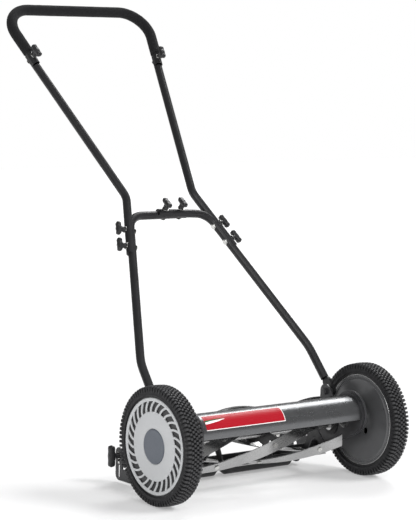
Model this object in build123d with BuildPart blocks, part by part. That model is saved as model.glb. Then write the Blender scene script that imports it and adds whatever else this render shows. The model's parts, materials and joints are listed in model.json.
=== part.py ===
"""Reel mower: two driven wheels, a five-blade reel, a bed knife, a rear roller and a tube handle."""

from build123d import *
from math import acos, cos, degrees, pi, radians, sin, sqrt, tan
import os

os.makedirs("parts", exist_ok=True)

# Driving dimensions, in millimetres. Side coordinates are (y, z) measured from below the wheel axle.
WHEEL_R = 127.0
TYRE_INNER_X = 262.0
TYRE_OUTER_X = 303.0
TYRE_BEAD_R = 106.0
CAP_R = 102.3
VENTS = 28
STUB_R = 8.0
COVER_X = 268.0
COVER_R = 102.0
COVER_HOLE = (-23.3, 106.2)
COVER_HOLE_R = 7.5
DISH_X = COVER_X - 4.0
PLATE_X = 222.0
PLATE_T = 4.0
PLATE_OUT_X = PLATE_X + PLATE_T

REEL_R = 66.9
REEL_HALF = 208.0
REEL_TWIST = -0.0056
REEL_PHASE = 3.6372
BLADES = 5
BLADE_W = 25.0
BLADE_T = 2.5
BLADE_RAKE = radians(34)
SHAFT_R = 6.0
SPIDER_XS = (-112.0, 26.0, 164.0)
SPIDER_T = 3.0

GEAR_MODULE = 2.0
RING_TEETH = 60
PINION_TEETH = 12
GEAR_BACKLASH = 0.25
GEAR_OFFSET = GEAR_MODULE * (RING_TEETH - PINION_TEETH) / 2
REEL_DROP = 15.0

SHROUD_C = (-17.0, 147.5)
SHROUD_R = 41.0
SHROUD_T = 1.6

ROLLER_R = 18.0
ROLLER_Y = 172.0
HEIGHT_BOLT = (230.0, 60.0)
GUIDE_PIN = (230.0, 44.0)
HEIGHT_TRAVEL = 30.0

TUBE_R = 9.5
TUBE_BORE = 8.0
FOAM_R = 13.0
LOWER_TILT = radians(51.7)
UPPER_TILT = radians(48.5)
LOWER_START_Y = 26.1
BEND_ALONG = 621.8
PIVOT = (68.0, 184.7)
PIVOT_X = 240.0
NEST = 4.5
NEST_GAP = 0.1
SIDE_KNOBS_ALONG = (526.0, 483.0)
CENTRE_KNOBS_X = (-11.0, 33.0)
LEG_ALONG = 566.0
LEG_CORNER_ALONG = {-1: 566.0, 1: 558.0}
LEG_END_ALONG = {-1: 565.0, 1: 567.0}
LEG_SLACK = 0.5
CENTRE_BOLT_TILT = radians(51.7 - 25.0)
LOOP_KNOB_UP = 405.0
LOOP_TOP_UP = 554.8
LOOP_R = 65.0
BOLT_R = 3.0
FIT = 0.05

# The handle's rearmost point and the tyre's foremost one are equally far from the origin.
LOOP_OUT = NEST / 2
LOOP_TOP_Y = (
    LOWER_START_Y + BEND_ALONG * cos(LOWER_TILT) + LOOP_TOP_UP * cos(UPPER_TILT)
    - LOOP_OUT * sin(UPPER_TILT)
)
AXLE_Y = -(LOOP_TOP_Y + FOAM_R - WHEEL_R) / 2
AXLE = (0.0, WHEEL_R)
REEL_C = (sqrt(GEAR_OFFSET**2 - REEL_DROP**2), WHEEL_R - REEL_DROP)
SIDES = (("left", -1), ("right", 1))


def side_plane(x):
    """Plane across the axle at x, with local coordinates (y from the axle, z from the ground)."""
    return Plane(origin=(x, AXLE_Y, 0), x_dir=(0, 1, 0), z_dir=(1, 0, 0))


def turned(centre, points, mode=Mode.ADD):
    """Revolve a closed outline of (x, radius) points about the X-wise line through a side point."""
    spot = (0, AXLE_Y + centre[0], centre[1])
    with BuildSketch(Plane(origin=spot, x_dir=(1, 0, 0), z_dir=(0, -1, 0)), mode=Mode.PRIVATE) as outline:
        with BuildLine():
            Polyline(*points, close=True)
        make_face()
    revolve(outline.sketch, axis=Axis(spot, (1, 0, 0)), mode=mode)


def tube_x(centre, low_x, high_x, radius, bore=0.0, mode=Mode.ADD):
    """Round bar or ring along X between two stations."""
    points = [(low_x, bore), (high_x, bore), (high_x, radius), (low_x, radius)]
    turned(centre, points, mode)


def link(start, end):
    """Face bounded by two (y, z, radius) circles and the tangents that join them."""
    with BuildSketch(mode=Mode.PRIVATE) as outline:
        for y, z, radius in (start, end):
            with Locations((y, z)):
                Circle(radius)
        make_hull()
    return outline.sketch


def plate(x, thickness, links, holes):
    """Flat plate across the axle: a union of links, less (y, z, radius) holes."""
    with BuildSketch(side_plane(x), mode=Mode.PRIVATE) as outline:
        for start, end in links:
            add(link(start, end))
        for y, z, radius in holes:
            with Locations((y, z)):
                Circle(radius, mode=Mode.SUBTRACT)
    extrude(outline.sketch, amount=thickness)


def lower_point(x, along, out=0.0):
    """Point of the lower handle plane."""
    y = AXLE_Y + LOWER_START_Y + along * cos(LOWER_TILT) - out * sin(LOWER_TILT)
    return (x, y, WHEEL_R + along * sin(LOWER_TILT) + out * cos(LOWER_TILT))


def upper_point(x, up, out=0.0):
    """Point of the upper handle plane, measured up from the bend."""
    _, bend_y, bend_z = lower_point(0, BEND_ALONG)
    y = bend_y + up * cos(UPPER_TILT) - out * sin(UPPER_TILT)
    return (x, y, bend_z + up * sin(UPPER_TILT) + out * cos(UPPER_TILT))


def lower_half_width(along):
    """Half the distance between the lower tubes' centre lines."""
    return 227.9 - 0.3431 * (along - 210.0)


UPPER_SPREAD = 0.2036


def upper_half_width(up):
    """Half the distance between the upper tubes' centre lines."""
    return 97.3 + UPPER_SPREAD * up


def swept_tube(path, radius, bore=0.0, mode=Mode.ADD):
    """Round tube along a tangent path."""
    start = Plane(origin=path @ 0, z_dir=path % 0)
    with BuildSketch(start, mode=Mode.PRIVATE) as section:
        Circle(radius)
        if bore:
            Circle(bore, mode=Mode.SUBTRACT)
    sweep(section.sketch, path=path, mode=mode)


def rod(start, end, radius, mode=Mode.ADD):
    """Solid round bar between two points."""
    along = Vector(*end) - Vector(*start)
    with BuildSketch(Plane(origin=start, z_dir=along), mode=Mode.PRIVATE) as section:
        Circle(radius)
    extrude(section.sketch, amount=along.length, mode=mode)


# ---------------------------------------------------------------- chassis
PLATE_LINKS = (
    ((-19.0, 150.0, 50.0), (REEL_C[0], REEL_C[1], 40.0)),
    ((REEL_C[0], REEL_C[1], 40.0), (PIVOT[0], PIVOT[1], 17.0)),
    ((-19.0, 150.0, 50.0), (102.0, 58.0, 15.0)),
    ((REEL_C[0], REEL_C[1], 40.0), (102.0, 58.0, 15.0)),
    ((102.0, 58.0, 15.0), (228.0, 54.0, 17.0)),
)
BEARING_R = 16.0
LUG_BOLT = (104.5, 59.0)
SHROUD_BOLTS = ((-30.0, 166.0), (-30.0, 142.0))
FRAME_BOLT_R = 3.0
PLATE_HOLES = (
    (AXLE[0], AXLE[1], STUB_R + FIT),
    (REEL_C[0], REEL_C[1], BEARING_R + FIT),
    (PIVOT[0], PIVOT[1], 5.0 + FIT),
    (LUG_BOLT[0], LUG_BOLT[1], FRAME_BOLT_R + FIT),
    (SHROUD_BOLTS[0][0], SHROUD_BOLTS[0][1], FRAME_BOLT_R + FIT),
    (SHROUD_BOLTS[1][0], SHROUD_BOLTS[1][1], FRAME_BOLT_R + FIT),
    (HEIGHT_BOLT[0], HEIGHT_BOLT[1], BOLT_R + FIT),
    (GUIDE_PIN[0], GUIDE_PIN[1], BOLT_R + FIT),
)
COLLAR_IN = 3.0
ROD_COLLAR_R = 7.0
ROD_NOTCH_R = ROD_COLLAR_R + 0.6

for side, s in SIDES:
    with BuildPart() as side_plate:
        plate(s * PLATE_X, s * PLATE_T, PLATE_LINKS, PLATE_HOLES)
        with BuildSketch(side_plane(s * PLATE_X), mode=Mode.PRIVATE) as rod_notch:
            notch_ends = [(ROLLER_Y, z, ROD_NOTCH_R) for z in (ROLLER_R, ROLLER_R + HEIGHT_TRAVEL)]
            add(link(*notch_ends))
        extrude(rod_notch.sketch, amount=s * PLATE_T, mode=Mode.SUBTRACT)
        tube_x(SHROUD_C, s * (PLATE_X - COLLAR_IN), s * PLATE_X, 47.0, SHROUD_R + 0.3)
        keep_out = (REEL_C[0], REEL_C[1])
        tube_x(keep_out, s * (PLATE_X - COLLAR_IN - 1), s * PLATE_X, REEL_R + 3.0, 0.0, Mode.SUBTRACT)
    side_plate.part.label = side + "_side_plate"
    export_step(side_plate.part, "parts/" + side + "_side_plate.step")

    with BuildPart() as stub_axle:
        turned(AXLE, [
            (s * 216.0, 0), (s * 294.5, 0), (s * 295.5, STUB_R - 1), (s * 293.6, STUB_R), (s * 292.8, STUB_R),
            (s * 292.8, STUB_R - 1.5), (s * 291.4, STUB_R - 1.5), (s * 291.4, STUB_R), (s * 273.5, STUB_R),
            (s * 273.5, 14.0), (s * (COVER_X + 2), 14.0), (s * (COVER_X + 2), 10.0), (s * COVER_X, 10.0),
            (s * COVER_X, 16.0), (s * PLATE_OUT_X, 20.0), (s * PLATE_OUT_X, STUB_R), (s * PLATE_X, STUB_R),
            (s * PLATE_X, 13.0), (s * 216.0, 13.0),
        ])
    stub_axle.part.label = side + "_stub_axle"
    export_step(stub_axle.part, "parts/" + side + "_stub_axle.step")

    with BuildPart() as dust_cover:
        turned(AXLE, [
            (s * COVER_X, 10.0 + FIT), (s * (COVER_X + 2), 10.0 + FIT), (s * (COVER_X + 2), 18.0),
            (s * (DISH_X + 2), 30.0), (s * (DISH_X + 2), 44.0), (s * (COVER_X + 1), COVER_R - 12),
            (s * (COVER_X + 2), COVER_R - 4), (s * (COVER_X + 4.5), COVER_R - 2),
            (s * (COVER_X + 4.5), COVER_R), (s * (COVER_X - 1), COVER_R),
            (s * (COVER_X - 1), COVER_R - 12), (s * DISH_X, 44.0), (s * DISH_X, 30.0), (s * COVER_X, 18.0),
        ])
        for spot, radius in ((REEL_C, SHAFT_R + 2.5), (COVER_HOLE, COVER_HOLE_R)):
            tube_x(spot, s * (DISH_X - 1), s * (COVER_X + 3), radius, 0.0, Mode.SUBTRACT)
    dust_cover.part.label = side + "_dust_cover"
    export_step(dust_cover.part, "parts/" + side + "_dust_cover.step")

    with BuildPart() as reel_bearing:
        tube_x(REEL_C, s * PLATE_X, s * (PLATE_OUT_X + 3), BEARING_R, SHAFT_R + FIT)
        tube_x(REEL_C, s * (PLATE_X - 3), s * PLATE_X, BEARING_R + 5, SHAFT_R + FIT)
    reel_bearing.part.label = side + "_reel_bearing"
    export_step(reel_bearing.part, "parts/" + side + "_reel_bearing.step")

with BuildPart() as shroud:
    for low_x, high_x, bore in (
        (-PLATE_X, PLATE_X, SHROUD_R - SHROUD_T),
        (-PLATE_X, -PLATE_X + SHROUD_T, 10.0),
        (PLATE_X - SHROUD_T, PLATE_X, 10.0),
    ):
        tube_x(SHROUD_C, low_x, high_x, SHROUD_R, bore)
    with BuildSketch(side_plane(-PLATE_X), mode=Mode.PRIVATE) as open_back:
        with BuildLine():
            Polyline(
                SHROUD_C,
                (SHROUD_C[0] - 60, SHROUD_C[1] - 60 * tan(radians(10))),
                (SHROUD_C[0] - 60, SHROUD_C[1] - 80),
                (SHROUD_C[0] + 90, SHROUD_C[1] - 80),
                (SHROUD_C[0] + 90, SHROUD_C[1] + 90 * tan(radians(50))),
                close=True,
            )
        make_face()
    extrude(open_back.sketch, amount=2 * PLATE_X, mode=Mode.SUBTRACT)
    for y, z in SHROUD_BOLTS:
        tube_x((y, z), -PLATE_X, PLATE_X, FRAME_BOLT_R + FIT, 0.0, Mode.SUBTRACT)
shroud.part.label = "shroud"
export_step(shroud.part, "parts/shroud.step")

KNIFE_TOP = REEL_C[1] - 66.2
KNIFE_FRONT = REEL_C[0] + 11.8
KNIFE_SCREWS_X = (-180.0, -90.0, 0.0, 90.0, 180.0)
KNIFE_SCREW_Y = 88.0
with BuildPart() as bed_knife:
    with BuildSketch(side_plane(-PLATE_X + 1)):
        with BuildLine():
            Polyline(
                (KNIFE_FRONT, KNIFE_TOP),
                (98.0, KNIFE_TOP),
                (98.0, KNIFE_TOP - 3.0),
                (KNIFE_FRONT + 4.0, KNIFE_TOP - 3.0),
                close=True,
            )
        make_face()
    extrude(amount=2 * (PLATE_X - 1))
    screw_y = AXLE_Y + KNIFE_SCREW_Y
    with Locations(*[Location((x, screw_y, KNIFE_TOP - 3), (180, 0, 0)) for x in KNIFE_SCREWS_X]):
        CounterSinkHole(radius=2.5 + FIT, counter_sink_radius=4.9, depth=4.0)
bed_knife.part.label = "bed_knife"
export_step(bed_knife.part, "parts/bed_knife.step")

with BuildPart() as cutter_bar:
    with BuildSketch(side_plane(-PLATE_X)):
        with BuildLine():
            Polyline(
                (77.0, KNIFE_TOP),
                (101.0, KNIFE_TOP),
                (101.0, 64.0),
                (97.0, 64.0),
                (97.0, KNIFE_TOP + 4.5),
                (77.0, KNIFE_TOP + 4.5),
                close=True,
            )
        make_face()
    extrude(amount=2 * PLATE_X)
    for x in (-PLATE_X, PLATE_X - 20):
        with BuildSketch(side_plane(x)):
            with Locations((105.0, 58.5)):
                Rectangle(14, 17)
        extrude(amount=20)
    tube_x(LUG_BOLT, -PLATE_X, PLATE_X, FRAME_BOLT_R + FIT, 0.0, Mode.SUBTRACT)
    with Locations(*[(x, AXLE_Y + KNIFE_SCREW_Y, KNIFE_TOP + 4.5) for x in KNIFE_SCREWS_X]):
        Hole(radius=2.5 + FIT, depth=5)
cutter_bar.part.label = "cutter_bar"
export_step(cutter_bar.part, "parts/cutter_bar.step")

with BuildPart() as bed_knife_screws:
    for x in KNIFE_SCREWS_X:
        base = Plane(origin=(x, AXLE_Y + KNIFE_SCREW_Y, KNIFE_TOP - 3.0), z_dir=(0, 0, 1))
        with BuildSketch(base):
            Circle(2.5)
        extrude(amount=9.0)
        with BuildSketch(base):
            Circle(4.6)
        extrude(amount=2.0, taper=45)
bed_knife_screws.part.label = "bed_knife_screws"
export_step(bed_knife_screws.part, "parts/bed_knife_screws.step")

with BuildPart() as frame_bolts:
    for _, s in SIDES:
        for spot in SHROUD_BOLTS:
            tube_x(spot, s * (PLATE_X - 9), s * (PLATE_OUT_X + 1), FRAME_BOLT_R)
            tube_x(spot, s * PLATE_OUT_X, s * (PLATE_OUT_X + 3), 6.0)
            tube_x(spot, s * (PLATE_X - SHROUD_T - 4), s * (PLATE_X - SHROUD_T), 5.5, FRAME_BOLT_R)
        tube_x(LUG_BOLT, s * (PLATE_X - 16), s * (PLATE_OUT_X + 1), FRAME_BOLT_R)
        tube_x(LUG_BOLT, s * PLATE_OUT_X, s * (PLATE_OUT_X + 3.5), 7.0)
        tube_x(HEIGHT_BOLT, s * (PLATE_X - 3), s * PLATE_X, 7.0)
        tube_x(HEIGHT_BOLT, s * (PLATE_X - 1), s * (PLATE_OUT_X + 17), BOLT_R)
        tube_x(GUIDE_PIN, s * (PLATE_X - 2), s * PLATE_X, 5.0)
        tube_x(GUIDE_PIN, s * (PLATE_X - 1), s * (PLATE_OUT_X + 3.3), BOLT_R)
frame_bolts.part.label = "frame_bolts"
export_step(frame_bolts.part, "parts/frame_bolts.step")

PIVOT_BOLT_R = 5.0
TAB_T = 6.0
with BuildPart() as handle_pivot_bolts:
    for _, s in SIDES:
        tube_x(PIVOT, s * (PLATE_X - 8), s * (PIVOT_X + TAB_T / 2 + 1), PIVOT_BOLT_R)
        tube_x(PIVOT, s * (PLATE_X - 6), s * PLATE_X, 7.5)
        tube_x(PIVOT, s * PLATE_OUT_X, s * (PIVOT_X - TAB_T / 2 - 0.3), 9.0)
        tube_x(PIVOT, s * (PIVOT_X + TAB_T / 2 + 0.3), s * (PIVOT_X + TAB_T / 2 + 5), 8.5)
handle_pivot_bolts.part.label = "handle_pivot_bolts"
export_step(handle_pivot_bolts.part, "parts/handle_pivot_bolts.step")

with BuildPart() as wheel_clips:
    for _, s in SIDES:
        tube_x(AXLE, s * 291.4, s * 292.8, 12.0, STUB_R - 1.5)
wheel_clips.part.label = "wheel_clips"
export_step(wheel_clips.part, "parts/wheel_clips.step")


# ---------------------------------------------------------------- wheels
def gear_outline(teeth, tip, root, thicken, flank_points):
    """Involute gear outline as polar points about its own centre, one tooth centred on angle 0."""
    pitch = GEAR_MODULE * teeth / 2
    base = pitch * cos(radians(20))
    half_pitch_angle = pi / (2 * teeth) + thicken / (2 * pitch)
    pressure_angle = radians(20)

    def involute_angle(radius):
        if radius <= base:
            return 0.0
        angle = acos(base / radius)
        return tan(angle) - angle

    at_pitch = tan(pressure_angle) - pressure_angle
    radii = [root + (tip - root) * i / (flank_points - 1) for i in range(flank_points)]
    points = []
    for tooth in range(teeth):
        middle = 2 * pi * tooth / teeth
        rising = [(r, middle - half_pitch_angle - at_pitch + involute_angle(r)) for r in radii]
        falling = [(r, 2 * middle - angle) for r, angle in reversed(rising)]
        points += rising + falling
    return [(r * cos(angle), r * sin(angle)) for r, angle in points]


RING_TIP = GEAR_MODULE * RING_TEETH / 2 - 1.5
RING_ROOT = GEAR_MODULE * RING_TEETH / 2 + 2.3
PINION_TIP = GEAR_MODULE * PINION_TEETH / 2 + 1.6
PINION_ROOT = GEAR_MODULE * PINION_TEETH / 2 - 2.3
MESH_ANGLE = degrees(acos((REEL_C[0] - AXLE[0]) / GEAR_OFFSET)) * -1

for side, s in SIDES:
    with BuildPart() as tyre:
        turned(AXLE, [
            (s * (TYRE_INNER_X + 2.5), TYRE_BEAD_R), (s * TYRE_INNER_X, TYRE_BEAD_R + 5),
            (s * TYRE_INNER_X, WHEEL_R - 8), (s * (TYRE_INNER_X + 2), WHEEL_R - 3),
            (s * (TYRE_INNER_X + 6), WHEEL_R), (s * (TYRE_OUTER_X - 4), WHEEL_R),
            (s * (TYRE_OUTER_X - 1), WHEEL_R - 3), (s * TYRE_OUTER_X, WHEEL_R - 8),
            (s * TYRE_OUTER_X, TYRE_BEAD_R + 5), (s * (TYRE_OUTER_X - 2.5), TYRE_BEAD_R),
        ])
    tyre.part.label = side + "_tyre"
    export_step(tyre.part, "parts/" + side + "_tyre.step")

    with BuildPart() as rim:
        turned(AXLE, [
            (s * 266.0, 102.7), (s * 274.0, 102.7), (s * 274.0, 99.0), (s * 288.0, 99.0), (s * 288.0, 20.0),
            (s * 274.0, 20.0), (s * 274.0, STUB_R + FIT), (s * 291.1, STUB_R + FIT), (s * 291.1, 99.0),
            (s * 296.0, 99.0), (s * 296.0, 102.7), (s * 299.0, 102.7), (s * 299.0, TYRE_BEAD_R),
            (s * 266.0, TYRE_BEAD_R),
        ])
    rim.part.label = side + "_rim"
    export_step(rim.part, "parts/" + side + "_rim.step")

    with BuildPart() as ring_gear:
        tube_x(AXLE, s * 276.0, s * 288.0, 72.0)
        outline = gear_outline(RING_TEETH, RING_ROOT, RING_TIP, GEAR_BACKLASH, 2)
        with BuildSketch(side_plane(s * 276.0), mode=Mode.PRIVATE) as space:
            with BuildLine():
                Polyline(*outline, close=True)
            make_face()
        cutter = space.sketch.moved(Location((0, 0, AXLE[1])))
        cutter = cutter.rotate(Axis((0, AXLE_Y, AXLE[1]), (1, 0, 0)), MESH_ANGLE)
        extrude(cutter, amount=s * 12.0, mode=Mode.SUBTRACT)
    ring_gear.part.label = side + "_ring_gear"
    export_step(ring_gear.part, "parts/" + side + "_ring_gear.step")

    with BuildPart() as hubcap:
        turned(AXLE, [
            (s * 296.0, 30.0), (s * 300.0, 30.0), (s * 300.0, 38.0), (s * 301.2, 40.0), (s * 301.2, 66.0),
            (s * 300.2, 72.0), (s * 300.2, 95.0), (s * 301.0, 97.0), (s * 301.0, 100.0), (s * 299.5, CAP_R),
            (s * 296.0, CAP_R),
        ])
        with BuildSketch(side_plane(s * 295.0), mode=Mode.PRIVATE) as vents:
            with Locations(AXLE):
                with PolarLocations(83.5, VENTS):
                    SlotOverall(19.0, 9.5, rotation=20 * s)
        extrude(vents.sketch, amount=s * 8.0, mode=Mode.SUBTRACT)
    hubcap.part.label = side + "_hubcap"
    export_step(hubcap.part, "parts/" + side + "_hubcap.step")

    with BuildPart() as centre_cap:
        turned(AXLE, [
            (s * 297.0, 26.0), (s * 300.0, 26.0), (s * 300.0, 0.0), (s * 302.2, 0.0), (s * 302.0, 20.0),
            (s * 301.4, 34.0), (s * 300.6, 36.6), (s * 300.0, 36.6), (s * 300.0, 30.0 - FIT),
            (s * 297.0, 30.0 - FIT),
        ])
    centre_cap.part.label = side + "_centre_cap"
    export_step(centre_cap.part, "parts/" + side + "_centre_cap.step")


# ---------------------------------------------------------------- reel
def reel_angle(x, blade):
    """Angle of a blade's cutting edge at station x."""
    return REEL_PHASE + REEL_TWIST * x + 2 * pi * blade / BLADES


def blade_section(angle, start, length, depth, thickness):
    """Corners of a strip trailing from the cutting edge, length long and depth below the blade's face."""
    radial = (cos(angle), sin(angle))
    forward = (-sin(angle), cos(angle))
    back = [-forward[i] * cos(BLADE_RAKE) - radial[i] * sin(BLADE_RAKE) for i in (0, 1)]
    inward = [-radial[i] * cos(BLADE_RAKE) + forward[i] * sin(BLADE_RAKE) for i in (0, 1)]
    corners = []
    for run, drop in ((start, depth), (start + length, depth), (start + length, depth + thickness),
                      (start, depth + thickness)):
        offset = [run * back[i] + drop * inward[i] for i in (0, 1)]
        corners.append(tuple(REEL_C[i] + REEL_R * radial[i] + offset[i] for i in (0, 1)))
    return corners


def helical_strip(stations, blade, start, length, depth, thickness):
    """Loft a strip that follows one blade's helix through the given stations."""
    sections = []
    for x in stations:
        with BuildSketch(side_plane(x), mode=Mode.PRIVATE) as section:
            with BuildLine():
                Polyline(*blade_section(reel_angle(x, blade), start, length, depth, thickness), close=True)
            make_face()
        sections.append(section.sketch)
    loft(sections)


def rivet_point(x, blade, depth):
    """Point on one rivet's axis, depth below the blade's face and square to it."""
    run = FOOT_RUN[0] + FOOT_RUN[1] / 2
    face = blade_section(reel_angle(x, blade), run, 0.0, 0.0, 1.0)
    inward = (face[2][0] - face[0][0], face[2][1] - face[0][1])
    rise = (REEL_R - run * sin(BLADE_RAKE)) * sin(BLADE_RAKE) - run * cos(BLADE_RAKE) ** 2
    axis = Vector(-REEL_TWIST * rise, inward[0], inward[1]).normalized()
    return tuple(Vector(x, AXLE_Y + face[0][0], face[0][1]) + axis * depth)


BLADE_STATIONS = [-REEL_HALF + 2 * REEL_HALF * i / 12 for i in range(13)]
FOOT_LENGTH = 24.0
FOOT_RUN = (5.0, 15.0)
FOOT_GAP = 0.1
RIVET_R = 3.0
RIVET_HEAD_R = 5.2

for number in range(BLADES):
    with BuildPart() as blade:
        helical_strip(BLADE_STATIONS, number, 0.0, BLADE_W, 0.0, BLADE_T)
        for spider_x in SPIDER_XS:
            middle = spider_x - FOOT_LENGTH / 2
            top = rivet_point(middle, number, -2.0)
            rod(top, rivet_point(middle, number, 6.0), RIVET_R + FIT, Mode.SUBTRACT)
    name = "reel_blade_" + str(number + 1)
    blade.part.label = name
    export_step(blade.part, "parts/" + name + ".step")

HUB_R = 15.0
ARM_ROOT_R = 22.0
ARM_ROOT_TURNS = (-0.75, 0.1)
for number, spider_x in enumerate(SPIDER_XS):
    with BuildPart() as spider:
        tube_x(REEL_C, spider_x, spider_x + 8, HUB_R, SHAFT_R)
        with BuildSketch(side_plane(spider_x), mode=Mode.PRIVATE) as web:
            with Locations(REEL_C):
                Circle(24.0)
            for blade_number in range(BLADES):
                angle = reel_angle(spider_x + SPIDER_T / 2, blade_number)
                foot = blade_section(angle, FOOT_RUN[0], FOOT_RUN[1], BLADE_T + FOOT_GAP + 0.4, 3.0)
                root = [
                    (REEL_C[0] + ARM_ROOT_R * cos(angle + turn), REEL_C[1] + ARM_ROOT_R * sin(angle + turn))
                    for turn in ARM_ROOT_TURNS
                ]
                with BuildLine():
                    Polyline(foot[0], foot[1], root[0], root[1], close=True)
                make_face()
            with Locations(REEL_C):
                Circle(SHAFT_R, mode=Mode.SUBTRACT)
        extrude(web.sketch, amount=SPIDER_T)
        for blade_number in range(BLADES):
            ends = (spider_x - FOOT_LENGTH, spider_x - FOOT_LENGTH / 2, spider_x + SPIDER_T)
            helical_strip(ends, blade_number, FOOT_RUN[0], FOOT_RUN[1], BLADE_T + FOOT_GAP, 3.0)
            middle = spider_x - FOOT_LENGTH / 2
            start = rivet_point(middle, blade_number, -2.0)
            rod(start, rivet_point(middle, blade_number, 12.0), RIVET_R + FIT, Mode.SUBTRACT)
    name = "reel_spider_" + str(number + 1)
    spider.part.label = name
    export_step(spider.part, "parts/" + name + ".step")

with BuildPart() as reel_rivets:
    for blade_number in range(BLADES):
        for spider_x in SPIDER_XS:
            middle = spider_x - FOOT_LENGTH / 2
            top = rivet_point(middle, blade_number, -2.2)
            rod(top, rivet_point(middle, blade_number, 7.4), RIVET_R)
            rod(top, rivet_point(middle, blade_number, -0.3), RIVET_HEAD_R)
reel_rivets.part.label = "reel_rivets"
export_step(reel_rivets.part, "parts/reel_rivets.step")

with BuildPart() as reel_shaft:
    tube_x(REEL_C, -287.4, 287.4, SHAFT_R)
    tube_x(REEL_C, -218.5, -214.0, 11.0)
    tube_x(REEL_C, 214.0, 218.5, 11.0)
reel_shaft.part.label = "reel_shaft"
export_step(reel_shaft.part, "parts/reel_shaft.step")

for side, s in SIDES:
    with BuildPart() as pinion:
        outline = gear_outline(PINION_TEETH, PINION_TIP, PINION_ROOT, -GEAR_BACKLASH, 4)
        with BuildSketch(side_plane(s * 275.5), mode=Mode.PRIVATE) as teeth:
            with BuildLine():
                Polyline(*outline, close=True)
            make_face()
        blank = teeth.sketch.moved(Location((0, REEL_C[0], REEL_C[1])))
        blank = blank.rotate(Axis((0, AXLE_Y + REEL_C[0], REEL_C[1]), (1, 0, 0)), MESH_ANGLE)
        extrude(blank, amount=s * 11.5)
        tube_x(REEL_C, s * 274.0, s * 288.0, SHAFT_R, 0.0, Mode.SUBTRACT)
    pinion.part.label = side + "_pinion"
    export_step(pinion.part, "parts/" + side + "_pinion.step")


# ---------------------------------------------------------------- rear roller
CARRIAGE_X = PLATE_OUT_X + 0.3
CARRIAGE_T = 3.0
for side, s in SIDES:
    with BuildPart() as roller_bracket:
        links = (
            ((HEIGHT_BOLT[0], 66.0, 12.0), (229.0, 18.0, 13.0)),
            ((229.0, 18.0, 13.0), (ROLLER_Y, ROLLER_R, 13.0)),
        )
        plate(s * CARRIAGE_X, s * CARRIAGE_T, links, ((ROLLER_Y, ROLLER_R, 5.0),))
        slot_low = GUIDE_PIN[1] - HEIGHT_TRAVEL
        with BuildSketch(side_plane(s * CARRIAGE_X), mode=Mode.PRIVATE) as slot:
            slot_ends = [(HEIGHT_BOLT[0], z, BOLT_R + 0.35) for z in (slot_low, HEIGHT_BOLT[1])]
            add(link(*slot_ends))
        extrude(slot.sketch, amount=s * CARRIAGE_T, mode=Mode.SUBTRACT)
    roller_bracket.part.label = side + "_roller_bracket"
    export_step(roller_bracket.part, "parts/" + side + "_roller_bracket.step")

    with BuildPart() as roller:
        turned((ROLLER_Y, ROLLER_R), [
            (s * 6.0, 5.0 + FIT), (s * 210.0, 5.0 + FIT), (s * 210.0, 10.0), (s * 199.0, ROLLER_R),
            (s * 17.0, ROLLER_R), (s * 6.0, 10.0),
        ])
    roller.part.label = side + "_roller"
    export_step(roller.part, "parts/" + side + "_roller.step")

with BuildPart() as roller_rod:
    tube_x((ROLLER_Y, ROLLER_R), -CARRIAGE_X - CARRIAGE_T, CARRIAGE_X + CARRIAGE_T, 5.0)
    for _, s in SIDES:
        tube_x((ROLLER_Y, ROLLER_R), s * (CARRIAGE_X + CARRIAGE_T), s * (CARRIAGE_X + CARRIAGE_T + 4), 7.5)
        tube_x((ROLLER_Y, ROLLER_R), s * (CARRIAGE_X - 5), s * CARRIAGE_X, ROD_COLLAR_R)
roller_rod.part.label = "roller_rod"
export_step(roller_rod.part, "parts/roller_rod.step")


# ---------------------------------------------------------------- handle
def handle_path(points, bend_radii):
    """Straight runs joined by tangent arcs."""
    with BuildLine(mode=Mode.PRIVATE) as route:
        FilletPolyline(*points, radius=bend_radii)
    return route.wires()[0]


LOWER_BEND_ALONG = 191.0
LOWER_BEND_R = 120.0
CORNER_R = 45.0
MIDDLE_BEND_R = 50.0
BEND_POINT = lower_point(lower_half_width(LOWER_BEND_ALONG), LOWER_BEND_ALONG)
PIVOT_POINT = (PIVOT_X, AXLE_Y + PIVOT[0], PIVOT[1])
TUBE_START = 34.0
LEG_OVERLAP = 18.0
MIDDLE_LOW_ALONG = 465.0
MIDDLE_BEND_ALONG = 617.0
MIDDLE_TOP_UP = 417.0
LOOP_LOW_UP = 386.0
FOAM_LOW_UP = 419.0
SIDE_NEST_END = 550.0
LEG_FILL_START = 68.0
NEST_FILL_R = (TUBE_R + TUBE_BORE) / 2


def mirrored(point, s):
    return (s * point[0], point[1], point[2])


OUT_LOWER = (0.0, -sin(LOWER_TILT), cos(LOWER_TILT))
OUT_UPPER = (0.0, -sin(UPPER_TILT), cos(UPPER_TILT))
OUT_CENTRE = (0.0, -sin(CENTRE_BOLT_TILT), cos(CENTRE_BOLT_TILT))
LEG_END_X = {-1: CENTRE_KNOBS_X[1] + LEG_OVERLAP, 1: CENTRE_KNOBS_X[0] - LEG_OVERLAP}


def leg_axis(s):
    """Ends of the cross leg of one lower tube, from its corner to its cut end; the right leg lies on top."""
    lift = Vector(*OUT_CENTRE) * (s * NEST / 2)
    corner = lower_point(s * lower_half_width(LEG_CORNER_ALONG[s]), LEG_CORNER_ALONG[s])
    end = lower_point(LEG_END_X[s], LEG_END_ALONG[s])
    return tuple(Vector(*corner) + lift), tuple(Vector(*end) + lift)


def lower_direction(s):
    """Unit vector up one lower tube."""
    return (Vector(*leg_axis(s)[0]) - Vector(*mirrored(BEND_POINT, s))).normalized()


def side_out(s):
    """Outward unit vector across one lower tube, along its side bolts."""
    across = Vector(s, 0, 0)
    along = lower_direction(s)
    return (across - along * across.dot(along)).normalized()


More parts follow.
